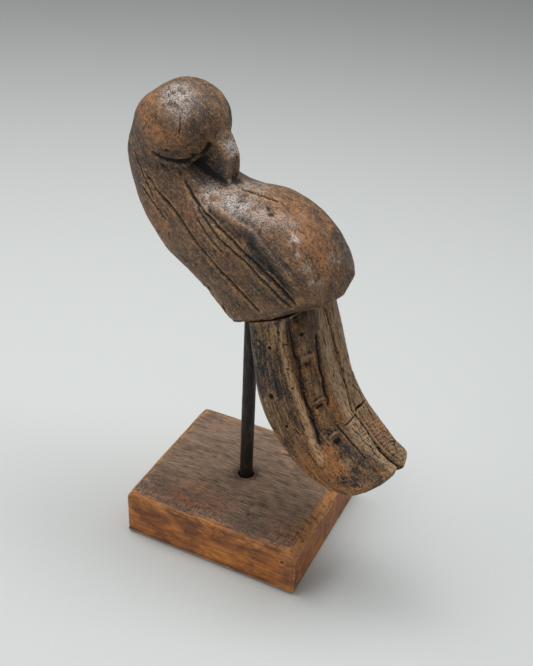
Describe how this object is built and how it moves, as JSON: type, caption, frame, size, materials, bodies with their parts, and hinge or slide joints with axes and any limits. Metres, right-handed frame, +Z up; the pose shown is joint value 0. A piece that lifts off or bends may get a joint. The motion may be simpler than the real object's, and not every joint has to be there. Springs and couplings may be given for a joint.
{
  "type": "carved bird ornament",
  "caption": "Dark carved wooden bird looking back over its shoulder, on a steel rod in a chamfered wooden block; the bird turns on the rod.",
  "frame": {"origin": "on the rod's axis, in the plane of the felt's underside, which the stand rests on", "axes": "+Z up along the rod; +X along the block's long side, towards the bird's tail; +Y away from the bird's near flank. The bird's own plane is turned 15 degrees about Z, its tail towards -Y"},
  "size_m": [0.2322, 0.122, 0.3342],
  "materials": {
    "carving": "old dark stain, waxed and rubbed to a low gloss, worn to orange-brown on the edges",
    "block": "worn stained wood, matte, orange-brown on the sides and grey-brown on top",
    "steel": "blackened bar, slightly rough",
    "fixing": "plain steel",
    "peg": "raw hardwood",
    "felt": "dark pressed felt"
  },
  "bodies": {
    "stand": {"base_block": "block", "felt_sheet": "felt", "mounting_rod": "steel", "washer": "fixing", "hex_nut": "fixing"},
    "bird": {"bird_body": "carving", "bird_tail": "carving", "tail_peg": "peg"}
  },
  "joints": [
    {"name": "bird_swivel", "type": "hinge", "parent": "stand", "child": "bird", "pos_m": [0, 0, 0.2], "axis": [0, 0, 1], "continuous": true}
  ]
}
